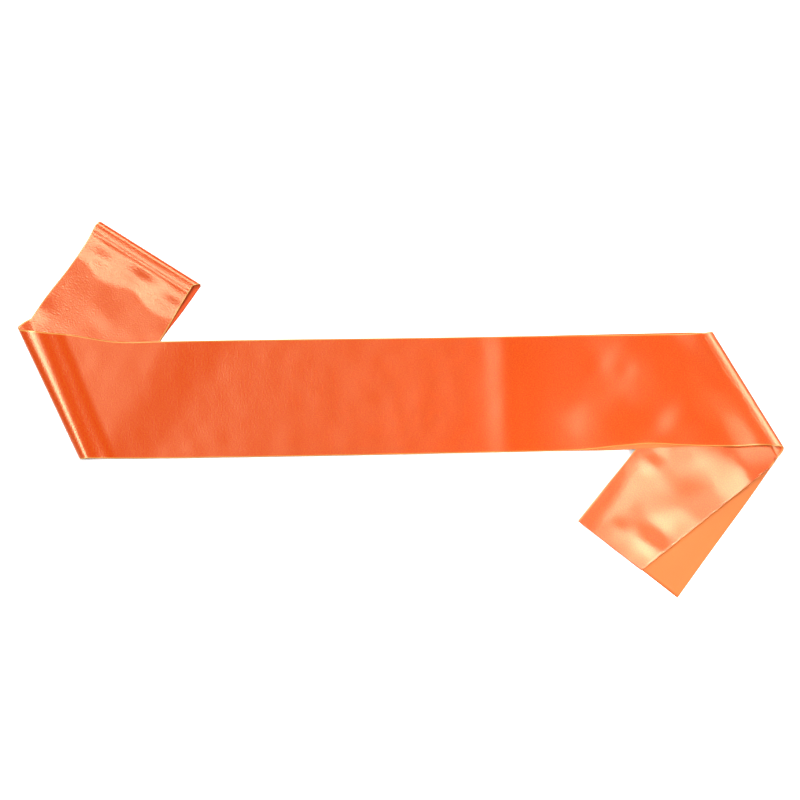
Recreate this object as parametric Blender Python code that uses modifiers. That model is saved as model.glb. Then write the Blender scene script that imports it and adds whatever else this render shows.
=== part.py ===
"""A satin sash, doubled and laid flat with an end turned back at each side.

One long strip makes it. Half-way along, the strip turns over in a loop (fold B), so it lies
double. The doubled strip is turned under at the left (fold A), which makes the flap, and at the
right (fold C), which makes the tail with both cut ends. At A and C the layer that is on top of
the main panel goes round the outside, and becomes the lower layer of the flap and of the tail.

x runs along the main panel, y across it and z up. The tables are in millimetres.
"""

import math
from collections import namedtuple

import bmesh
import bpy
from mathutils import Vector

MM = 0.001

# The cloth: its wall, the clearance between layers and between stretches, and a layer's pitch
WALL = 1.0
GAP = 0.3
LAYER = WALL + GAP

# Mesh: faces across the strip, and faces round a half turn
COLUMNS = 12
TURN_STEPS = 12

# How far the cloth takes to come down from a fold's crown, from the loop and off other layers
FOLD_FALL = 28.0
LOOP_FALL = 36.0
COVER_FALL = 32.0

# Middle of the folded outline, which becomes the origin
CENTRE_X = 0.63
CENTRE_Y = -0.3

# A fold's end: its outermost point, how far in its crown lies, and how far the selvage has
# slid along the fold, towards the second end, at the crown and underneath
FoldEnd = namedtuple("FoldEnd", "x y reach crown_slide under_slide")

# A fold: its end at each selvage, half its height, and 1 or -1 for the side that is outward
Fold = namedtuple("Fold", "first second rise side")

FOLD_A = Fold(
    first=FoldEnd(x=-325.7, y=74.5, reach=8.5, crown_slide=6.2, under_slide=-3.0),
    second=FoldEnd(x=-275.1, y=-37.5, reach=5.0, crown_slide=2.2, under_slide=-2.5),
    rise=4.5,
    side=-1,
)
FOLD_B = Fold(
    first=FoldEnd(x=-254.0, y=165.0, reach=5.0, crown_slide=-1.2, under_slide=-0.5),
    second=FoldEnd(x=-169.1, y=109.6, reach=5.0, crown_slide=-4.7, under_slide=1.0),
    rise=5.0,
    side=1,
)
FOLD_C = Fold(
    first=FoldEnd(x=267.8, y=61.1, reach=4.5, crown_slide=-2.7, under_slide=3.0),
    second=FoldEnd(x=326.7, y=-38.2, reach=5.0, crown_slide=-4.9, under_slide=5.0),
    rise=4.5,
    side=1,
)

# Layers, counted inwards round folds A and C
OUTER = 0
INNER = 1

# Sections of the main panel between folds A and C, from the upper selvage to the lower one:
# the top layer's two points, the y of each selvage in the layer under it, and how many faces
# lie between this section and the one before
PanelSection = namedtuple("PanelSection", "x1 y1 x2 y2 under_y1 under_y2 faces")
PANEL = [
    PanelSection(-280.5, 68.3, -235.0, -38.3, 67.6, -38.1, 5),
    PanelSection(-242.1, 61.8, -195.0, -38.7, 61.2, -38.4, 5),
    PanelSection(-202.0, 61.4, -153.0, -38.8, 60.8, -38.5, 5),
    PanelSection(-160.0, 61.4, -110.0, -38.9, 60.9, -38.6, 5),
    PanelSection(-85.0, 61.2, -34.0, -38.9, 60.9, -38.6, 3),
    PanelSection(18.0, 60.6, 70.0, -38.5, 60.3, -38.3, 3),
    PanelSection(95.0, 60.5, 150.0, -37.9, 60.3, -38.3, 4),
    PanelSection(130.0, 60.4, 185.0, -35.0, 60.6, -38.3, 5),
    PanelSection(157.0, 60.3, 213.0, -33.3, 60.8, -38.0, 4),
    PanelSection(190.0, 60.0, 246.0, -35.4, 60.9, -37.9, 4),
    PanelSection(225.0, 59.9, 285.0, -36.6, 61.0, -38.5, 5),
    PanelSection(248.0, 60.0, 305.0, -35.9, 61.1, -38.7, 3),
]
PANEL_LAST_FACES = 2

# Sections of the other stretches: a point on each selvage, and the faces from the one before
Section = namedtuple("Section", "x1 y1 x2 y2 faces")

# The flap's lower layer, from fold A to the loop
FLAP_LOWER = [
    Section(-299.5, 103.0, -238.0, 13.5, 3),
    Section(-280.5, 126.5, -203.1, 63.1, 3),
    Section(-267.0, 145.0, -184.5, 86.6, 2),
]
FLAP_LOWER_LAST_FACES = 2

# The flap's upper layer, from the loop back to fold A
FLAP_UPPER = [
    Section(-265.8, 147.5, -186.5, 91.0, 3),
    Section(-281.5, 125.5, -203.6, 63.1, 4),
    Section(-300.8, 101.7, -238.5, 14.0, 3),
]
FLAP_UPPER_LAST_FACES = 3

# The tail's lower layer, from fold C to its cut end
TAIL_LOWER = [
    Section(228.0, 1.5, 298.2, -80.0, 3),
    Section(190.5, -53.0, 267.6, -120.5, 3),
    Section(153.7, -107.8, 233.9, -165.6, 3),
]

# The tail's upper layer, from fold C to its cut end: its second side is turned under
TAIL_UPPER = [
    Section(240.0, 19.0, 305.0, -62.5, 4),
    Section(200.7, -36.8, 278.0, -83.0, 6),
    Section(175.0, -68.0, 240.0, -110.8, 4),
    Section(149.6, -98.4, 204.0, -140.3, 4),
]

# The selvage that is turned under the tail's upper layer, and how far its ridge fades
TURNED_START = Vector((319.2, -50.9))
TURNED_END = Vector((190.8, -111.9))
TURNED_FADE = 7.0

# Edges that the main panel comes down from: the flap's, and the tail's, which lie on the left
# of a walk from the first point to the second
FLAP_EDGE = (Vector((-271.6, -33.2)), Vector((-203.1, 63.1)))
TAIL_EDGE = (Vector((272.3, 50.0)), Vector((200.7, -36.8)))
EDGE_CLEARANCE = 6.0

# Colours in linear light: the satin's face and its matt back
FACE_COLOUR = (0.91, 0.125, 0.017)
BACK_COLOUR = (0.94, 0.27, 0.07)


def ease(share):
    """From 0 to 1 with a level start and finish."""
    share = min(max(share, 0.0), 1.0)
    return (1 - math.cos(math.pi * share)) / 2


def right_of(point, start, end):
    """How far a plan point lies to the right of the walk from start to end."""
    walk = (end - start).normalized()
    offset = point - start
    return offset.x * walk.y - offset.y * walk.x


def fold_directions(fold):
    """Unit vectors in plan: along the fold to its second end, and outward."""
    along = Vector((fold.second.x - fold.first.x, fold.second.y - fold.first.y)).normalized()
    outward = Vector((-along.y, along.x)) * fold.side
    return along, outward


def fold_ends(fold, layer, angle, back=0.0):
    """Plan points of both selvages on a fold, with angle 0 at its crown and pi underneath."""
    along, outward = fold_directions(fold)
    turn = angle / (math.pi / 2) - 1
    inset = WALL / 2 + layer * LAYER
    ends = []
    for end in (fold.first, fold.second):
        swing = (end.under_slide - end.crown_slide) / 2 * turn
        bow = (end.under_slide + end.crown_slide) / 2 * turn**2
        reach = (end.reach - inset) * math.sin(angle) - end.reach - back
        ends.append(Vector((end.x, end.y)) + outward * reach + along * (swing + bow))
    return ends


def fold_height(fold, layer, angle):
    """Height of a layer's middle on a fold whose lowest layer lies on the ground."""
    return WALL / 2 + fold.rise + (fold.rise - layer * LAYER) * math.cos(angle)


def crown_share(point, fold, fall):
    """1 at a fold's crown, falling to 0 at a distance behind it."""
    first, second = fold_ends(fold, OUTER, 0.0)
    return 1 - ease(fold.side * right_of(point, first, second) / fall)


def panel_height(layer):
    """A function for the height of a main panel layer's middle at a plan point."""

    def height(point):
        covers = [
            1 - ease((right_of(point, *edge) - EDGE_CLEARANCE) / COVER_FALL)
            for edge in (FLAP_EDGE, TAIL_EDGE)
        ]
        level = WALL / 2 + LAYER * (1 - layer) + 2 * LAYER * max(covers)
        for fold in (FOLD_A, FOLD_C):
            share = crown_share(point, fold, FOLD_FALL)
            level += (fold_height(fold, layer, 0.0) - level) * share
        return level

    return height


def flap_upper_height(point):
    low = WALL / 2 + LAYER
    share = crown_share(point, FOLD_B, LOOP_FALL)
    return low + (fold_height(FOLD_B, OUTER, 0.0) - low) * share


def ground_height(point):
    return WALL / 2


def tail_upper_height(point):
    """Underside of the tail's upper layer, which its wall rises from."""
    return LAYER


def row_between(first, second, height):
    """Points across the strip, on the straight line between its selvages."""
    row = []
    for column in range(COLUMNS + 1):
        plan = first.lerp(second, column / COLUMNS)
        row.append(Vector((plan.x, plan.y, height(plan))))
    return row


def fold_rows(fold, layer, start, finish):
    """Rows round a fold from one angle to another."""
    rows = []
    for step in range(TURN_STEPS + 1):
        angle = start + (finish - start) * step / TURN_STEPS
        level = fold_height(fold, layer, angle)
        rows.append(row_between(*fold_ends(fold, layer, angle), lambda plan: level))
    return rows


def hermite(points, knots, index, share):
    """Point on the smooth curve through the points, part of the way from one to the next."""

    def slope(at):
        before = max(at - 1, 0)
        after = min(at + 1, len(points) - 1)
        return (points[after] - points[before]) / (knots[after] - knots[before])

    span = knots[index + 1] - knots[index]
    s2 = share * share
    s3 = s2 * share
    return (
        points[index] * (2 * s3 - 3 * s2 + 1)
        + points[index + 1] * (3 * s2 - 2 * s3)
        + slope(index) * span * (s3 - 2 * s2 + share)
        + slope(index + 1) * span * (s3 - s2)
    )


def span_rows(sections, faces, height):
    """Rows over a stretch, with both selvages smooth through its sections.

    faces holds how many faces lie between each section and the next.
    """
    middles = [(first + second) / 2 for first, second in sections]
    knots = [0.0]
    for before, after in zip(middles, middles[1:]):
        knots.append(knots[-1] + (after - before).length)
    firsts = [section[0] for section in sections]
    seconds = [section[1] for section in sections]
    rows = []
    for index, steps in enumerate(faces):
        for step in range(steps):
            first = hermite(firsts, knots, index, step / steps)
            second = hermite(seconds, knots, index, step / steps)
            rows.append(row_between(first, second, height))
    rows.append(row_between(firsts[-1], seconds[-1], height))
    return rows


def section_points(table):
    return [(Vector((row.x1, row.y1)), Vector((row.x2, row.y2))) for row in table]


def section_faces(table):
    return [row.faces for row in table]


def panel_rows(layer):
    """The main panel's rows in the top layer or, moved by its own y, in the one under it."""
    sections = [fold_ends(FOLD_A, layer, 0.0)]
    for row in PANEL:
        y1, y2 = (row.y1, row.y2) if layer == OUTER else (row.under_y1, row.under_y2)
        sections.append((Vector((row.x1, y1)), Vector((row.x2, y2))))
    sections.append(fold_ends(FOLD_C, layer, 0.0))
    faces = section_faces(PANEL) + [PANEL_LAST_FACES]
    return span_rows(sections, faces, panel_height(layer))


def satin(name, colour, roughness):
    material = bpy.data.materials.new(name)
    material.use_nodes = True
    shader = material.node_tree.nodes["Principled BSDF"]
    shader.inputs["Base Color"].default_value = (*colour, 1.0)
    shader.inputs["Roughness"].default_value = roughness
    shader.inputs["Metallic"].default_value = 0.0
    material.diffuse_color = (*colour, 1.0)
    return material


def sheet_object(name, rows, material, collection):
    """A named object holding the open surface through the rows of points."""
    surface = bmesh.new()
    grid = []
    for row in rows:
        points = ((point.x - CENTRE_X, point.y - CENTRE_Y, point.z) for point in row)
        grid.append([surface.verts.new(Vector(point) * MM) for point in points])
    for before, after in zip(grid, grid[1:]):
        for column in range(len(before) - 1):
            surface.faces.new(
                (before[column], before[column + 1], after[column + 1], after[column])
            )
    mesh = bpy.data.meshes.new(name)
    surface.to_mesh(mesh)
    surface.free()
    mesh.shade_smooth()
    mesh.materials.append(material)
    piece = bpy.data.objects.new(name, mesh)
    collection.objects.link(piece)
    return piece


def add_wall(piece, thickness, offset):
    wall = piece.modifiers.new("Wall", "SOLIDIFY")
    wall.thickness = thickness * MM
    wall.offset = offset
    wall.use_even_offset = True
    return wall


def build_main_panel(layer, name, colour_name, collection):
    """A layer of the main panel, with its half turns at folds A and C."""
    rows = fold_rows(FOLD_A, layer, math.pi, 0.0)[:-1]
    rows += panel_rows(layer)
    rows += fold_rows(FOLD_C, layer, 0.0, math.pi)[1:]
    piece = sheet_object(name, rows, satin(colour_name, FACE_COLOUR, 0.35), collection)
    add_wall(piece, WALL, 0.0)


def build_flap_lower(collection):
    sections = [fold_ends(FOLD_A, OUTER, math.pi, back=GAP)]
    sections += section_points(FLAP_LOWER)
    sections.append(fold_ends(FOLD_B, OUTER, math.pi, back=GAP))
    faces = section_faces(FLAP_LOWER) + [FLAP_LOWER_LAST_FACES]
    rows = span_rows(sections, faces, ground_height)
    piece = sheet_object(
        "left_flap_lower", rows, satin("satin_flap_lower", BACK_COLOUR, 0.6), collection
    )
    add_wall(piece, WALL, 0.0)


def build_flap_upper(collection):
    """The loop at the half-way fold, and the layer that runs back from it."""
    sections = [fold_ends(FOLD_B, OUTER, 0.0)]
    sections += section_points(FLAP_UPPER)
    sections.append(fold_ends(FOLD_A, INNER, math.pi, back=GAP))
    faces = section_faces(FLAP_UPPER) + [FLAP_UPPER_LAST_FACES]
    rows = fold_rows(FOLD_B, OUTER, math.pi, 0.0)[:-1]
    rows += span_rows(sections, faces, flap_upper_height)
    piece = sheet_object(
        "left_flap_upper", rows, satin("satin_flap_upper", FACE_COLOUR, 0.35), collection
    )
    add_wall(piece, WALL, 0.0)


def build_tail_lower(collection):
    sections = [fold_ends(FOLD_C, OUTER, math.pi, back=GAP)] + section_points(TAIL_LOWER)
    rows = span_rows(sections, section_faces(TAIL_LOWER), ground_height)
    piece = sheet_object(
        "right_tail_lower", rows, satin("satin_tail_back", BACK_COLOUR, 0.6), collection
    )
    add_wall(piece, WALL, 0.0)


def build_tail_upper(collection):
    """The tail's upper layer, in one solid with the side that is turned under it."""
    sections = [fold_ends(FOLD_C, INNER, math.pi, back=GAP)] + section_points(TAIL_UPPER)
    rows = span_rows(sections, section_faces(TAIL_UPPER), tail_upper_height)
    piece = sheet_object(
        "right_tail_upper", rows, satin("satin_tail_face", FACE_COLOUR, 0.35), collection
    )
    doubled = WALL + LAYER
    wall = add_wall(piece, doubled, -1.0)
    thickness = piece.vertex_groups.new(name="thickness")
    for index, point in enumerate(point for row in rows for point in row):
        past = right_of(point.xy, TURNED_START, TURNED_END)
        ridge = 1 - ease(past / TURNED_FADE)
        thickness.add([index], (WALL + LAYER * ridge) / doubled, "REPLACE")
    wall.vertex_group = thickness.name
    wall.thickness_vertex_group = 0.0


def main():
    for leftover in list(bpy.data.objects):
        bpy.data.objects.remove(leftover)
    sash = bpy.data.collections.new("satin_sash")
    bpy.context.scene.collection.children.link(sash)
    build_main_panel(OUTER, "main_panel_top", "satin_panel_top", sash)
    build_main_panel(INNER, "main_panel_under", "satin_panel_under", sash)
    build_flap_lower(sash)
    build_flap_upper(sash)
    build_tail_lower(sash)
    build_tail_upper(sash)


main()
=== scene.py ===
import math
from collections import namedtuple

import bpy
import numpy as np
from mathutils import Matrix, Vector, noise


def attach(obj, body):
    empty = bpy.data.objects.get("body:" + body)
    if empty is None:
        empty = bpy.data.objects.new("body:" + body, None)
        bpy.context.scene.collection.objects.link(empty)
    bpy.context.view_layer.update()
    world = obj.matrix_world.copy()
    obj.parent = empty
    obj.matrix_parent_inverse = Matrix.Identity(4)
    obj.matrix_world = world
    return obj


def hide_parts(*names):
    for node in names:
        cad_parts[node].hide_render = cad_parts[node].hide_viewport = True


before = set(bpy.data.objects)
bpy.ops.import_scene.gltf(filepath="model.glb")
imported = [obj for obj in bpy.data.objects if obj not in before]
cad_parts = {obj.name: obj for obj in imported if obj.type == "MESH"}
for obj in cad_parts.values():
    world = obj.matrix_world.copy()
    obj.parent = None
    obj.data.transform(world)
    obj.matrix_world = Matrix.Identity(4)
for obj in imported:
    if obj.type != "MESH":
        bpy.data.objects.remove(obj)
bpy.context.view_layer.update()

# Looks of the satin sash: one thin strip of cloth, doubled and laid flat on a white table.
# The strip runs from one cut end to the other without a seam: up the tail's lower layer, round
# fold C, along the top of the main panel, round fold A, up the flap's lower layer, over the loop
# at fold B, and back through the inner layers to the other cut end. Sizes are in millimetres,
# unless a comment says otherwise, and places are in the sash's own layout, whose middle is
# CENTRE.

MM = 0.001

# The cloth: its wall, a layer's pitch and its cut width
WALL = 0.35
PITCH = 0.8
WIDTH = 100.0

# The grid that it is made on: its columns, the first ones' shares of the width, the step
# between its rows, a finer one where the creases are sharp, and the steps round a fold
COLUMNS = 46
SELVAGE_SHARES = [0.0, 0.006, 0.014, 0.026]
ROW_STEP = 3.0
FINE_STEP = 1.3
TURN_STEPS = 26

# How far the cloth takes to come down from the crowns of folds A and C, and off other layers
FOLD_A_FALL = 21.0
FOLD_C_FALL = 28.0
COVER_FALL = 55.0

# Behind the loop it comes down at an even slope with rounded ends, over a length that sways
LOOP_FALL = 36.0
LOOP_ROUNDING = 0.12
LOOP_SWAY = 3.5
LOOP_SWAY_AT = 29.7
LOOP_SWAY_LENGTH = 51.7

CENTRE = np.array([0.63, -0.3])

# A fold's end: its outermost point, how far in its crown lies, and how far the selvage has
# slid along the fold, towards the second end, at the crown and underneath
FoldEnd = namedtuple("FoldEnd", "x y reach crown_slide under_slide")

# A fold: its end at each selvage, the heights of its crown and of its outermost line, how
# sharp its shoulder is, where 1 is an ellipse, and 1 or -1 for the side that is outward
Fold = namedtuple("Fold", "first second crown nose shoulder side")

FOLD_A = Fold(
    first=FoldEnd(x=-325.7, y=74.5, reach=14.0, crown_slide=9.7, under_slide=-3.0),
    second=FoldEnd(x=-275.1, y=-37.5, reach=7.5, crown_slide=3.4, under_slide=-2.5),
    crown=7.2,
    nose=2.2,
    shoulder=1.15,
    side=-1,
)
FOLD_B = Fold(
    first=FoldEnd(x=-254.0, y=165.0, reach=4.6, crown_slide=-1.4, under_slide=-0.5),
    second=FoldEnd(x=-169.1, y=109.6, reach=4.6, crown_slide=-4.7, under_slide=1.0),
    crown=4.2,
    nose=1.8,
    shoulder=1.0,
    side=1,
)
FOLD_C = Fold(
    first=FoldEnd(x=267.8, y=61.1, reach=8.5, crown_slide=-4.5, under_slide=3.0),
    second=FoldEnd(x=326.7, y=-38.2, reach=8.5, crown_slide=-7.2, under_slide=5.0),
    crown=6.2,
    nose=2.7,
    shoulder=1.5,
    side=1,
)

# Layers, counted inwards round folds A and C
OUTER = 0
INNER = 1

# Angles round a fold: at its crown, at its outermost line and underneath
CROWN = 0.0
NOSE = math.pi / 2
UNDERNEATH = math.pi

# Sections of the main panel between folds A and C, from the upper selvage to the lower one:
# the top layer's two points, and the y of each selvage in the layer under it
PanelSection = namedtuple("PanelSection", "x1 y1 x2 y2 under_y1 under_y2")
PANEL = [
    PanelSection(-280.5, 68.3, -235.0, -38.3, 67.6, -38.1),
    PanelSection(-242.1, 61.8, -195.0, -38.7, 61.2, -38.4),
    PanelSection(-202.0, 61.4, -153.0, -38.8, 60.8, -38.5),
    PanelSection(-160.0, 61.4, -110.0, -38.9, 60.9, -38.6),
    PanelSection(-85.0, 61.2, -34.0, -38.9, 60.9, -38.6),
    PanelSection(18.0, 60.6, 70.0, -38.5, 60.3, -38.3),
    PanelSection(95.0, 60.5, 150.0, -37.9, 60.3, -38.3),
    PanelSection(130.0, 60.4, 185.0, -35.0, 60.6, -38.3),
    PanelSection(157.0, 60.3, 213.0, -33.3, 60.8, -37.3),
    PanelSection(190.0, 60.0, 246.0, -35.4, 60.9, -36.2),
    PanelSection(225.0, 59.9, 285.0, -36.6, 61.0, -37.3),
    PanelSection(248.0, 60.0, 305.0, -35.9, 61.1, -36.7),
]

# Sections of the other stretches: a point on each selvage
Section = namedtuple("Section", "x1 y1 x2 y2")
FLAP_LOWER = [
    Section(-299.5, 103.0, -238.0, 13.5),
    Section(-280.5, 126.5, -203.1, 63.1),
    Section(-267.0, 145.0, -184.5, 86.6),
]
FLAP_UPPER = [
    Section(-265.8, 147.5, -186.5, 91.0),
    Section(-281.5, 125.5, -203.6, 63.1),
    Section(-300.8, 101.7, -238.5, 14.0),
]
TAIL_LOWER = [
    Section(228.0, 1.5, 298.2, -80.0),
    Section(190.5, -53.0, 267.6, -120.5),
    Section(157.0, -103.4, 233.9, -165.6),
]
TAIL_UPPER = [
    Section(240.0, 19.0, 302.0, -71.5),
    Section(200.7, -36.8, 278.8, -99.5),
    Section(175.0, -68.0, 253.0, -130.0),
    Section(149.6, -98.4, 227.5, -160.8),
]

# The line that the tail's upper layer is turned under along, its fold's radius, the grid's
# column at the line, and how many columns go round the fold
TURN_START = np.array([319.2, -50.9])
TURN_END = np.array([204.0, -140.3])
TURN_RADIUS = 0.42
TURN_COLUMN = 32
TURN_COLUMNS = 6

# The turned side reaches back under the layer as far as the line from TURN_START to this
# point, and beyond it the layer comes down over this distance
TURNED_SELVAGE = np.array([190.8, -111.9])
TURNED_FADE = 26.0

# Edges that the main panel comes down from, of the flap and the tail, which lie on the left of
# a walk from the first point to the second, and how far past an edge it starts
FLAP_EDGE = (np.array([-271.6, -33.2]), np.array([-203.1, 63.1]))
TAIL_EDGE = (np.array([272.3, 50.0]), np.array([200.7, -36.8]))
EDGE_CLEARANCE = 3.0

# Soft troughs and ridges: middle, direction in degrees, half-length, half-width, height, and
# how abruptly it ends along its length
Crease = namedtuple("Crease", "x y angle length width height power", defaults=[2])
SHARED_SWELLS = [
    Crease(x=246.0, y=-31.0, angle=-38.0, length=55.0, width=70.0, height=4.2),
    Crease(x=223.0, y=-26.0, angle=-42.0, length=12.0, width=44.0, height=1.0),
    Crease(x=266.0, y=-26.0, angle=-40.0, length=32.0, width=22.0, height=1.3),
    Crease(x=292.0, y=-51.0, angle=92.0, length=24.0, width=25.0, height=2.3),
    Crease(x=293.0, y=-54.0, angle=92.0, length=18.0, width=8.0, height=0.6),
]
PANEL_CREASES = SHARED_SWELLS + [
    Crease(x=91.0, y=10.0, angle=91.0, length=110.0, width=110.0, height=2.2),
    Crease(x=91.0, y=10.0, angle=91.0, length=90.0, width=15.0, height=1.3),
    Crease(x=207.0, y=40.0, angle=90.0, length=40.0, width=44.0, height=3.1),
    Crease(x=170.0, y=38.0, angle=90.0, length=12.0, width=12.0, height=-0.45),
    Crease(x=192.0, y=31.0, angle=90.0, length=7.0, width=7.0, height=-0.3),
    Crease(x=167.0, y=-15.0, angle=90.0, length=22.0, width=30.0, height=2.4),
    Crease(x=221.0, y=-20.0, angle=90.0, length=16.0, width=21.0, height=-1.6),
    Crease(x=294.0, y=-14.0, angle=-59.0, length=30.0, width=20.0, height=1.6),
]
FLAP_CREASES = [
    Crease(x=-217.8, y=127.8, angle=-33.1, length=90.0, width=1.5, height=-0.3),
    Crease(x=-248.7, y=141.4, angle=-33.0, length=10.0, width=5.5, height=0.26),
    Crease(x=-254.1, y=133.0, angle=-33.0, length=10.0, width=5.5, height=-0.26),
    Crease(x=-215.9, y=123.3, angle=-33.0, length=13.0, width=6.0, height=0.38),
    Crease(x=-221.3, y=114.9, angle=-33.0, length=13.0, width=6.0, height=-0.38),
    Crease(x=-190.4, y=101.0, angle=-33.0, length=10.0, width=5.5, height=0.32),
    Crease(x=-195.8, y=92.6, angle=-33.0, length=10.0, width=5.5, height=-0.32),
    Crease(x=-258.6, y=88.4, angle=-38.0, length=14.0, width=10.0, height=0.25),
    Crease(x=-305.0, y=90.0, angle=-38.0, length=10.0, width=9.0, height=0.5),
]
TAIL_CREASES = SHARED_SWELLS + [
    Crease(x=135.0, y=-115.0, angle=-39.0, length=16.0, width=60.0, height=6.6, power=4),
    Crease(x=219.9, y=-107.1, angle=-40.0, length=15.0, width=8.5, height=-0.5),
    Crease(x=209.9, y=-118.9, angle=-40.0, length=15.0, width=8.5, height=0.7),
    Crease(x=219.2, y=-43.1, angle=-39.0, length=6.0, width=6.0, height=-0.35),
    Crease(x=212.8, y=-50.9, angle=-39.0, length=6.0, width=6.0, height=0.4),
    Crease(x=253.0, y=-66.0, angle=-39.0, length=20.0, width=14.0, height=-0.2),
    Crease(x=239.0, y=-84.0, angle=-39.0, length=20.0, width=14.0, height=0.15),
    Crease(x=189.7, y=-98.3, angle=-39.0, length=6.0, width=5.5, height=-0.15),
    Crease(x=184.1, y=-105.3, angle=-39.0, length=6.0, width=5.5, height=0.2),
]

# Small waves of the layers that don't lie on the table: their length and height, and the
# places in the noise where the main panel, the flap and the tail take them
WAVE_LENGTH = 16.0
WAVE_HEIGHT = 0.12
PANEL_WAVES = 1.5
FLAP_WAVES = 2.5
TAIL_WAVES = 3.5

# Tones of the face: its deep and its bright threads, its selvages, lighter partly from their own
# weave and partly as a painted highlight, and its sheen
FACE_DEEP = (0.405, 0.012, 0.000, 1)
FACE_BRIGHT = (0.445, 0.068, 0.003, 1)
SELVAGE_TONE_AND_HIGHLIGHT = (0.46, 0.190, 0.038, 1)
FACE_SHEEN = (1.0, 0.87, 0.52, 1)

# How far in from a selvage its lighter tone and painted highlight are whole, and where they have
# gone
SELVAGE_WHOLE = 0.6
SELVAGE_GONE = 1.2

# Grain of the face: how far its noise is squeezed across and along the cloth, its scale and its
# height, and the noise's values at the deep threads and at the bright ones
GRAIN_SQUEEZE = (1150.0, 950.0, 1.0)
GRAIN_SCALE = 0.9
GRAIN_HEIGHT = 0.22
GRAIN_DEEP = 0.3
GRAIN_BRIGHT = 0.7

# Tones of the matt back: away from the loop, a deeper one painted inside it as the loop's shade,
# and its sheen
BACK_TONE = (0.40, 0.092, 0.022, 1)
LOOP_PAINTED_SHADE = (0.42, 0.033, 0.003, 1)
BACK_SHEEN = (1.0, 0.85, 0.45, 1)

# How far along from the loop its painted shade is whole, and where it has gone
LOOP_SHADE_WHOLE = 60.0
LOOP_SHADE_GONE = 90.0

# The table: half its width, how far its top lies below the cloth, and its tone
TABLE_HALF = 3000.0
TABLE_GAP = 0.2
TABLE_TONE = (0.95, 0.95, 0.95, 1)

# Camera: the photograph's middle, its width on the table, and its turn in degrees from the
# main panel
VIEW_MIDDLE = np.array([-0.3, 7.7])
VIEW_WIDTH = 683.8
VIEW_TURN = -1.0
CAMERA_HEIGHT = 5000.0
SENSOR_WIDTH = 36.0

# Square soft lights, in degrees, metres and watts: each stands in a direction and at a
# distance from its target in plan, the sash's middle unless another is given
Softbox = namedtuple(
    "Softbox",
    "name azimuth elevation distance size power target spread",
    defaults=[(0.0, 0.0), 180.0],
)
SOFTBOXES = [
    Softbox("left_softbox", azimuth=171.0, elevation=66.0, distance=8.0, size=1.2, power=402.0),
    Softbox("right_softbox", azimuth=15.0, elevation=46.0, distance=8.0, size=1.6, power=480.0),
    Softbox("top_softbox", azimuth=112.0, elevation=50.0, distance=8.0, size=1.6, power=590.0),
    Softbox(
        "front_softbox",
        azimuth=-54.0,
        elevation=52.5,
        distance=1.1,
        size=0.2,
        power=0.26,
        target=(0.2, -0.1),
        spread=22.0,
    ),
]

# Strength of the even light of the room
ROOM_LIGHT = 0.36


def ease(share):
    """From 0 to 1 with a level start and finish."""
    return (1 - np.cos(math.pi * np.clip(share, 0.0, 1.0))) / 2


def ramp(share, rounding):
    """From 0 to 1 at an even slope, with a short rounded start and finish."""
    share = np.clip(share, 0.0, 1.0)
    start = share**2 / (2 * rounding)
    finish = 1 - rounding - (1 - share) ** 2 / (2 * rounding)
    slope = np.where(share < rounding, start, share - rounding / 2)
    return np.where(share > 1 - rounding, finish, slope) / (1 - rounding)


def right_of(points, start, end):
    """How far plan points lie to the right of the walk from start to end."""
    walk = (end - start) / np.linalg.norm(end - start)
    offset = points - start
    return offset[..., 0] * walk[1] - offset[..., 1] * walk[0]


def fold_directions(fold):
    """Unit vectors in plan: along the fold to its second end, and outward."""
    along = np.array([fold.second.x - fold.first.x, fold.second.y - fold.first.y])
    along = along / np.linalg.norm(along)
    outward = np.array([-along[1], along[0]]) * fold.side
    return along, outward


def fold_ends(fold, layer, angle):
    """Plan points of both selvages at an angle round a fold."""
    along, outward = fold_directions(fold)
    turn = angle / NOSE - 1
    inset = WALL / 2 + layer * PITCH
    shoulder = fold.shoulder if angle < NOSE else 1.0
    ends = []
    for end in (fold.first, fold.second):
        swing = (end.under_slide - end.crown_slide) / 2 * turn
        bow = (end.under_slide + end.crown_slide) / 2 * turn**2
        reach = (end.reach - inset) * max(math.sin(angle), 0.0) ** shoulder - end.reach
        ends.append(np.array([end.x, end.y]) + outward * reach + along * (swing + bow))
    return ends


def fold_height(fold, layer, angle):
    """Height of a layer's middle on a fold whose lowest layer lies on the table."""
    inset = WALL / 2 + layer * PITCH
    if angle < NOSE:
        rise = fold.crown - fold.nose - inset
        return fold.nose + rise * math.cos(angle) ** fold.shoulder
    return fold.nose + (fold.nose - inset) * math.cos(angle)


def crown_share(points, fold, fall):
    """1 at a fold's crown, falling to 0 at a distance behind it."""
    first, second = fold_ends(fold, OUTER, CROWN)
    return 1 - ease(fold.side * right_of(points, first, second) / fall)


def crease_height(points, creases):
    """Height that the troughs and ridges add at plan points."""
    total = np.zeros(len(points))
    for crease in creases:
        turn = math.radians(crease.angle)
        offset = points - np.array([crease.x, crease.y])
        along = offset[:, 0] * math.cos(turn) + offset[:, 1] * math.sin(turn)
        across = offset[:, 1] * math.cos(turn) - offset[:, 0] * math.sin(turn)
        ends = (along / crease.length) ** crease.power
        bump = np.exp(-ends - (across / crease.width) ** 2)
        total += crease.height * bump
    return total


def wave_height(points, seed):
    """Small uneven waves, never below zero."""
    waves = [
        noise.noise(Vector((x / WAVE_LENGTH, y / WAVE_LENGTH, seed))) for x, y in points
    ]
    return WAVE_HEIGHT * (np.array(waves) + 1)


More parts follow.
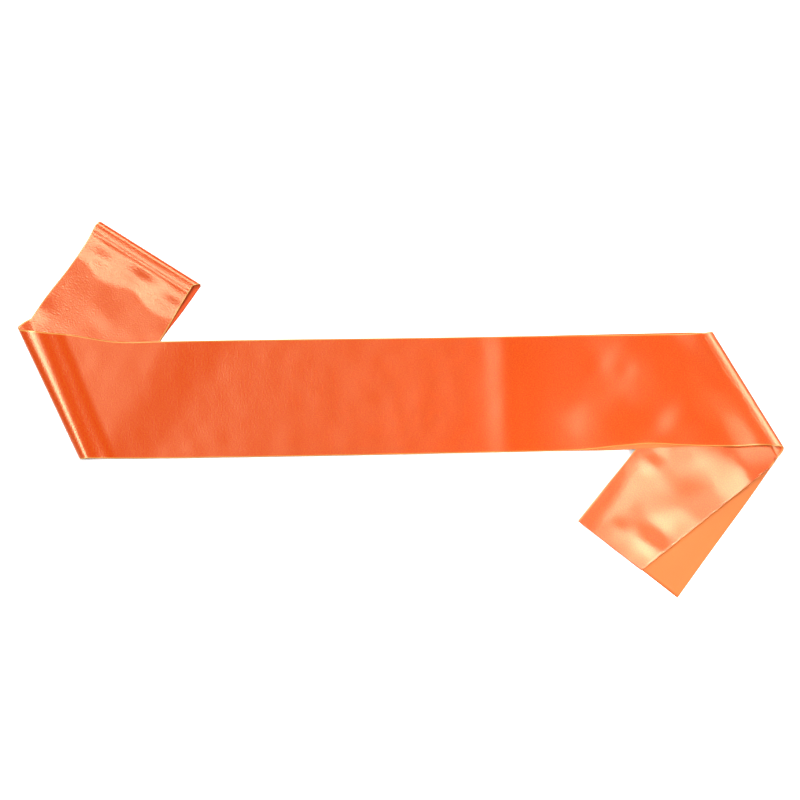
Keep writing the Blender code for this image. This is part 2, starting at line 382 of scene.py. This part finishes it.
def panel_height(layer):
    """A function for the height of a main panel layer's middle at plan points."""

    def height(points):
        covers = [
            1 - ease((right_of(points, *edge) - EDGE_CLEARANCE) / COVER_FALL)
            for edge in (FLAP_EDGE, TAIL_EDGE)
        ]
        level = WALL / 2 + PITCH * (1 - layer) + 2 * PITCH * np.maximum(*covers)
        level = level + crease_height(points, PANEL_CREASES) + wave_height(points, PANEL_WAVES)
        for fold, fall in ((FOLD_A, FOLD_A_FALL), (FOLD_C, FOLD_C_FALL)):
            share = crown_share(points, fold, fall)
            level = level + (fold_height(fold, layer, CROWN) - level) * share
        return level

    return height


def flap_upper_height(points):
    """Height of the flap's upper layer, which comes down behind the loop."""
    low = WALL / 2 + PITCH + wave_height(points, FLAP_WAVES)
    first, second = fold_ends(FOLD_B, OUTER, CROWN)
    walk = (points - first) @ fold_directions(FOLD_B)[0]
    sway = np.cos(2 * math.pi * (walk - LOOP_SWAY_AT) / LOOP_SWAY_LENGTH)
    behind = right_of(points, first, second)
    share = 1 - ramp(behind / (LOOP_FALL + LOOP_SWAY * sway), LOOP_ROUNDING)
    level = low + (fold_height(FOLD_B, OUTER, CROWN) - low) * share
    return level + crease_height(points, FLAP_CREASES)


def table_height(points):
    """Height of a layer that lies on the table."""
    return np.full(len(points), WALL / 2)


def tail_upper_height(points):
    """Height of the tail's upper layer, which lies over its own turned side."""
    past = right_of(points, TURN_START, TURNED_SELVAGE)
    ridge = 1 - ease(past / TURNED_FADE)
    low = WALL / 2 + PITCH + PITCH * ridge
    return low + crease_height(points, TAIL_CREASES) + wave_height(points, TAIL_WAVES)


def shares_across():
    """Where the grid's columns lie across the strip, closer together at the selvages."""
    *outer, last = SELVAGE_SHARES
    inner = np.linspace(last, 1 - last, COLUMNS - 2 * len(outer) + 1)
    return np.concatenate([outer, inner, [1 - share for share in reversed(outer)]])


ACROSS = shares_across()


def row_between(first, second, height):
    """Points across the strip, on the straight line between its selvages.

    Each has its x, y and height, and its share of the strip's width.
    """
    plan = first + (second - first) * ACROSS[:, None]
    return np.column_stack([plan, height(plan), ACROSS])


def fold_rows(fold, layer, start, finish):
    """Rows round a fold from one angle to another."""
    rows = []
    for angle in np.linspace(start, finish, TURN_STEPS + 1):
        level = fold_height(fold, layer, angle)
        first, second = fold_ends(fold, layer, angle)
        rows.append(row_between(first, second, lambda plan: np.full(len(plan), level)))
    return rows


def smooth_edges(sections, step):
    """Both selvages, smooth through the sections, at even steps along the stretch."""
    firsts = np.array([section[0] for section in sections])
    seconds = np.array([section[1] for section in sections])
    middles = (firsts + seconds) / 2
    knots = np.concatenate([[0], np.cumsum(np.linalg.norm(np.diff(middles, axis=0), axis=1))])
    steps = max(2, round(knots[-1] / step))
    at = np.linspace(0, knots[-1], steps + 1)
    index = np.clip(np.searchsorted(knots, at, side="right") - 1, 0, len(knots) - 2)
    span = (knots[index + 1] - knots[index])[:, None]
    share = ((at - knots[index])[:, None]) / span
    before = np.maximum(np.arange(len(knots)) - 1, 0)
    after = np.minimum(np.arange(len(knots)) + 1, len(knots) - 1)
    edges = []
    for points in (firsts, seconds):
        slopes = (points[after] - points[before]) / (knots[after] - knots[before])[:, None]
        edges.append(
            points[index] * (2 * share**3 - 3 * share**2 + 1)
            + points[index + 1] * (3 * share**2 - 2 * share**3)
            + slopes[index] * span * (share**3 - 2 * share**2 + share)
            + slopes[index + 1] * span * (share**3 - share**2)
        )
    return edges


def span_rows(sections, height, step=ROW_STEP):
    """Rows of a stretch through its sections, with their height from a function."""
    firsts, seconds = smooth_edges(sections, step)
    return [row_between(first, second, height) for first, second in zip(firsts, seconds)]


def section_points(table):
    """Both selvages' points of each section in a table."""
    return [(np.array([row.x1, row.y1]), np.array([row.x2, row.y2])) for row in table]


def panel_sections(layer):
    """Sections of a main panel layer, from fold A to fold C."""
    sections = [fold_ends(FOLD_A, layer, CROWN)]
    for row in PANEL:
        y1, y2 = (row.y1, row.y2) if layer == OUTER else (row.under_y1, row.under_y2)
        sections.append((np.array([row.x1, y1]), np.array([row.x2, y2])))
    sections.append(fold_ends(FOLD_C, layer, CROWN))
    return sections


def turned_rows(sections):
    """The tail's upper layer, with its second side turned under along the turn line.

    Past the line a point goes round a small half turn and comes back beneath.
    """
    walk = TURN_END - TURN_START
    walk = walk / np.linalg.norm(walk)
    out = np.array([-walk[1], walk[0]])
    arc = math.pi * TURN_RADIUS
    rows = []
    for first, second in zip(*smooth_edges(sections, FINE_STEP)):
        past_first = float(np.dot(first - TURN_START, out))
        past_second = float(np.dot(second - TURN_START, out))
        rate = past_second - past_first
        meets = min(max(-past_first / rate, 0.0), 1.0)
        turned = min(meets + arc / rate, 1.0)
        shares = np.interp(
            np.arange(COLUMNS + 1),
            [0, TURN_COLUMN, TURN_COLUMN + TURN_COLUMNS, COLUMNS],
            [0.0, meets, turned, 1.0],
        )
        plan = first + (second - first) * shares[:, None]
        past = (plan - TURN_START) @ out
        level = tail_upper_height(plan - out * np.maximum(past, 0.0)[:, None])
        angle = np.clip(past / TURN_RADIUS, 0.0, math.pi)
        beyond = np.maximum(past - arc, 0.0)
        moved = np.where(past > 0, TURN_RADIUS * np.sin(angle) - beyond - past, 0.0)
        plan = plan + out * moved[:, None]
        level = level - TURN_RADIUS * (1 - np.cos(angle))
        rows.append(np.column_stack([plan, level, shares]))
    return rows


def strip_stretches():
    """The strip's stretches of rows, from the tail's lower cut end to its upper one.

    Spans and folds take turns, and each begins with the row that the one before ends with.
    """
    tail = [fold_ends(FOLD_C, OUTER, UNDERNEATH)] + section_points(TAIL_LOWER)
    flap = [fold_ends(FOLD_A, OUTER, UNDERNEATH)] + section_points(FLAP_LOWER)
    flap.append(fold_ends(FOLD_B, OUTER, UNDERNEATH))
    back = [fold_ends(FOLD_B, OUTER, CROWN)] + section_points(FLAP_UPPER)
    back.append(fold_ends(FOLD_A, INNER, UNDERNEATH))
    end = [fold_ends(FOLD_C, INNER, UNDERNEATH)] + section_points(TAIL_UPPER)
    return {
        "tail lower": span_rows(tail[::-1], table_height),
        "fold C outer": fold_rows(FOLD_C, OUTER, UNDERNEATH, CROWN),
        "panel top": span_rows(panel_sections(OUTER)[::-1], panel_height(OUTER)),
        "fold A outer": fold_rows(FOLD_A, OUTER, CROWN, UNDERNEATH),
        "flap lower": span_rows(flap, table_height),
        "loop": fold_rows(FOLD_B, OUTER, UNDERNEATH, CROWN),
        "flap upper": span_rows(back, flap_upper_height, FINE_STEP),
        "fold A inner": fold_rows(FOLD_A, INNER, UNDERNEATH, CROWN),
        "panel under": span_rows(panel_sections(INNER), panel_height(INNER)),
        "fold C inner": fold_rows(FOLD_C, INNER, CROWN, UNDERNEATH),
        "tail upper": turned_rows(end),
    }


def strip_rows():
    """Every row of the strip, and the first row of each stretch by its name."""
    rows = []
    starts = {}
    for name, stretch in strip_stretches().items():
        starts[name] = max(len(rows) - 1, 0)
        rows += stretch[1:] if rows else stretch
    return np.array(rows), starts


def lengths_along(rows, starts):
    """Each point's place along the cloth as it was cut, in millimetres.

    A span is as long as two of its columns are on average, counted from a square line across
    it, and a fold runs evenly from the span before it to the span after it.
    """
    along = np.zeros(rows.shape[:2])
    ends = [*starts.values(), len(rows) - 1]
    spans = list(zip(ends[::2], ends[1::2]))
    reached = 0.0
    before = 0
    for start, finish in spans:
        turn = rows[before : start + 1]
        reached += np.linalg.norm(np.diff(turn, axis=0), axis=2).sum(axis=0).mean()
        part = rows[start : finish + 1]
        heading = part[-1].mean(axis=0)[:2] - part[0].mean(axis=0)[:2]
        heading = heading / np.linalg.norm(heading)
        steps = np.linalg.norm(np.diff(part, axis=0), axis=2)[:, [0, TURN_COLUMN]].mean(axis=1)
        run = np.concatenate([[0], np.cumsum(steps)])
        lean = (part[:, :, :2] - part.mean(axis=1)[:, None, :2]) @ heading
        along[start : finish + 1] = reached + run[:, None] + lean
        reached += run[-1]
        before = finish
    for (_, start), (finish, _) in zip(spans, spans[1:]):
        for row in range(start + 1, finish):
            share = (row - start) / (finish - start)
            along[row] = along[start] * (1 - share) + along[finish] * share
    return along


def node_material(name):
    """A new material with an empty node tree."""
    material = bpy.data.materials.new(name)
    material.use_nodes = True
    material.node_tree.nodes.clear()
    return material, material.node_tree


def add_node(tree, kind, **values):
    """A new node with its own settings."""
    node = tree.nodes.new(kind)
    for key, value in values.items():
        setattr(node, key, value)
    return node


def cloth_distance(tree, axis, middle):
    """How far a point of the cloth as it was cut lies from a place on its X or Y axis."""
    link = tree.links.new
    cloth = add_node(tree, "ShaderNodeUVMap", uv_map="cloth")
    place = add_node(tree, "ShaderNodeSeparateXYZ")
    link(cloth.outputs["UV"], place.inputs["Vector"])
    offset = add_node(tree, "ShaderNodeMath", operation="SUBTRACT")
    offset.inputs[1].default_value = middle * MM
    link(place.outputs[axis], offset.inputs[0])
    distance = add_node(tree, "ShaderNodeMath", operation="ABSOLUTE")
    link(offset.outputs["Value"], distance.inputs[0])
    return distance.outputs["Value"]


def smooth_share(tree, value, gone, whole):
    """0 where a value is at the first distance, and 1 where it is at the second."""
    share = add_node(tree, "ShaderNodeMapRange", interpolation_type="SMOOTHSTEP")
    share.inputs["From Min"].default_value = gone * MM
    share.inputs["From Max"].default_value = whole * MM
    tree.links.new(value, share.inputs["Value"])
    return share.outputs["Result"]


def satin_face():
    """Deep orange face, with long floats that shine across the strip, a fine grain, and selvages
    lighter partly from their own weave and partly as a painted highlight.
    """
    material, tree = node_material("satin_face")
    link = tree.links.new
    output = add_node(tree, "ShaderNodeOutputMaterial")
    shader = add_node(tree, "ShaderNodeBsdfPrincipled")
    shader.inputs["Roughness"].default_value = 0.36
    shader.inputs["Anisotropic"].default_value = 0.96
    shader.inputs["IOR"].default_value = 1.8
    shader.inputs["Specular IOR Level"].default_value = 0.68
    shader.inputs["Specular Tint"].default_value = FACE_SHEEN
    tangent = add_node(tree, "ShaderNodeTangent", direction_type="UV_MAP", uv_map="cloth")
    link(tangent.outputs["Tangent"], shader.inputs["Tangent"])
    link(shader.outputs["BSDF"], output.inputs["Surface"])

    cloth = add_node(tree, "ShaderNodeUVMap", uv_map="cloth")
    squeeze = add_node(tree, "ShaderNodeMapping")
    squeeze.inputs["Scale"].default_value = GRAIN_SQUEEZE
    link(cloth.outputs["UV"], squeeze.inputs["Vector"])
    grain = add_node(tree, "ShaderNodeTexNoise")
    grain.inputs["Scale"].default_value = GRAIN_SCALE
    grain.inputs["Detail"].default_value = 1.0
    link(squeeze.outputs["Vector"], grain.inputs["Vector"])
    bump = add_node(tree, "ShaderNodeBump")
    bump.inputs["Strength"].default_value = 0.5
    bump.inputs["Distance"].default_value = GRAIN_HEIGHT * MM
    link(grain.outputs["Fac"], bump.inputs["Height"])
    link(bump.outputs["Normal"], shader.inputs["Normal"])

    threads = add_node(tree, "ShaderNodeMapRange")
    threads.inputs["From Min"].default_value = GRAIN_DEEP
    threads.inputs["From Max"].default_value = GRAIN_BRIGHT
    link(grain.outputs["Fac"], threads.inputs["Value"])
    weave = add_node(tree, "ShaderNodeMix", data_type="RGBA")
    weave.inputs["A"].default_value = FACE_DEEP
    weave.inputs["B"].default_value = FACE_BRIGHT
    link(threads.outputs["Result"], weave.inputs["Factor"])
    middle = WIDTH / 2
    # The selvages are lighter, partly from their own weave and partly as a painted highlight
    # along the edge
    distance = cloth_distance(tree, "X", middle)
    selvage_and_highlight = smooth_share(tree, distance, middle - SELVAGE_GONE, middle - SELVAGE_WHOLE)
    tone = add_node(tree, "ShaderNodeMix", data_type="RGBA")
    tone.inputs["B"].default_value = SELVAGE_TONE_AND_HIGHLIGHT
    link(weave.outputs["Result"], tone.inputs["A"])
    link(selvage_and_highlight, tone.inputs["Factor"])
    link(tone.outputs["Result"], shader.inputs["Base Color"])
    return material


def satin_back(loop_at):
    """Matt back of the same cloth, with painted shade inside the loop: a deeper tone there."""
    material, tree = node_material("satin_back")
    link = tree.links.new
    output = add_node(tree, "ShaderNodeOutputMaterial")
    shader = add_node(tree, "ShaderNodeBsdfPrincipled")
    shader.inputs["Roughness"].default_value = 0.60
    shader.inputs["IOR"].default_value = 1.45
    shader.inputs["Specular IOR Level"].default_value = 0.5
    shader.inputs["Specular Tint"].default_value = BACK_SHEEN
    link(shader.outputs["BSDF"], output.inputs["Surface"])
    # Painted shade: the back is made deeper near the loop, standing in for the shadow inside it
    distance = cloth_distance(tree, "Y", loop_at)
    loop_shade = smooth_share(tree, distance, LOOP_SHADE_GONE, LOOP_SHADE_WHOLE)
    tone = add_node(tree, "ShaderNodeMix", data_type="RGBA")
    tone.inputs["A"].default_value = BACK_TONE
    tone.inputs["B"].default_value = LOOP_PAINTED_SHADE
    link(loop_shade, tone.inputs["Factor"])
    link(tone.outputs["Result"], shader.inputs["Base Color"])
    return material


def strip_mesh(rows, along):
    """The strip's middle surface as one grid, which also holds each point's place on the cut."""
    row_count, column_count = rows.shape[:2]
    points = rows[:, :, :3].copy()
    points[:, :, :2] -= CENTRE
    points *= MM
    row_index = np.arange(row_count - 1)[:, None]
    column_index = np.arange(column_count - 1)[None, :]
    corner = row_index * column_count + column_index
    corners = [corner, corner + column_count, corner + column_count + 1, corner + 1]
    faces = np.stack([each.ravel() for each in corners], axis=1)
    mesh = bpy.data.meshes.new("satin_sash_strip")
    mesh.from_pydata(points.reshape(-1, 3).tolist(), [], faces.tolist())
    mesh.update()
    places = np.stack([rows[:, :, 3] * WIDTH, along], axis=2).reshape(-1, 2) * MM
    layer = mesh.uv_layers.new(name="cloth")
    layer.data.foreach_set("uv", places[faces.ravel()].ravel())
    mesh.shade_smooth()
    return mesh


def build_sash():
    """The whole sash as one thin shell, face out, which stands for every node."""
    rows, starts = strip_rows()
    along = lengths_along(rows[:, :, :3], starts)
    one_row_into_loop = starts["loop"] + 1
    loop_at = float(along[one_row_into_loop].mean())
    mesh = strip_mesh(rows, along)
    mesh.materials.append(satin_face())
    mesh.materials.append(satin_back(loop_at))
    sash = bpy.data.objects.new("satin_sash_strip", mesh)
    bpy.context.scene.collection.objects.link(sash)
    wall = sash.modifiers.new("Wall", "SOLIDIFY")
    wall.thickness = WALL * MM
    wall.offset = 0.0
    wall.material_offset = 1
    wall.material_offset_rim = 0
    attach(sash, "root")
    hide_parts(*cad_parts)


def build_table():
    """A plain white table, which isn't part of the object."""
    half = TABLE_HALF * MM
    top = -TABLE_GAP * MM
    mesh = bpy.data.meshes.new("table")
    corners = [(-half, -half, top), (half, -half, top), (half, half, top), (-half, half, top)]
    mesh.from_pydata(corners, [], [(0, 1, 2, 3)])
    table = bpy.data.objects.new("table", mesh)
    bpy.context.scene.collection.objects.link(table)
    material, tree = node_material("table_white")
    output = add_node(tree, "ShaderNodeOutputMaterial")
    shader = add_node(tree, "ShaderNodeBsdfDiffuse")
    shader.inputs["Color"].default_value = TABLE_TONE
    tree.links.new(shader.outputs["BSDF"], output.inputs["Surface"])
    mesh.materials.append(material)


def build_softbox(softbox):
    """A square soft light that faces its target."""
    light = bpy.data.lights.new(softbox.name, "AREA")
    light.shape = "SQUARE"
    light.size = softbox.size
    light.energy = softbox.power
    light.spread = math.radians(softbox.spread)
    holder = bpy.data.objects.new(softbox.name, light)
    turn = math.radians(softbox.azimuth)
    lift = math.radians(softbox.elevation)
    level = math.cos(lift)
    towards = Vector((math.cos(turn) * level, math.sin(turn) * level, math.sin(lift)))
    holder.location = Vector((*softbox.target, 0.0)) + towards * softbox.distance
    holder.rotation_euler = towards.to_track_quat("Z", "Y").to_euler()
    bpy.context.scene.collection.objects.link(holder)


def build_lights():
    """The softboxes, and an even light of the room that has no reflection of its own."""
    for softbox in SOFTBOXES:
        build_softbox(softbox)
    world = bpy.data.worlds.new("studio")
    world.use_nodes = True
    background = world.node_tree.nodes["Background"]
    background.inputs["Color"].default_value = (1, 1, 1, 1)
    background.inputs["Strength"].default_value = ROOM_LIGHT
    world.cycles_visibility.glossy = False
    bpy.context.scene.world = world


def build_camera():
    """A camera straight above the table, turned as the photograph is."""
    camera = bpy.data.cameras.new("camera")
    camera.sensor_width = SENSOR_WIDTH
    camera.lens = SENSOR_WIDTH * CAMERA_HEIGHT / VIEW_WIDTH
    holder = bpy.data.objects.new("camera", camera)
    middle = (VIEW_MIDDLE - CENTRE) * MM
    holder.location = (middle[0], middle[1], CAMERA_HEIGHT * MM)
    holder.rotation_euler = (0.0, 0.0, math.radians(VIEW_TURN))
    bpy.context.scene.collection.objects.link(holder)
    bpy.context.scene.camera = holder


build_camera()
build_sash()
build_table()
build_lights()
bpy.context.scene.view_settings.view_transform = "Standard"
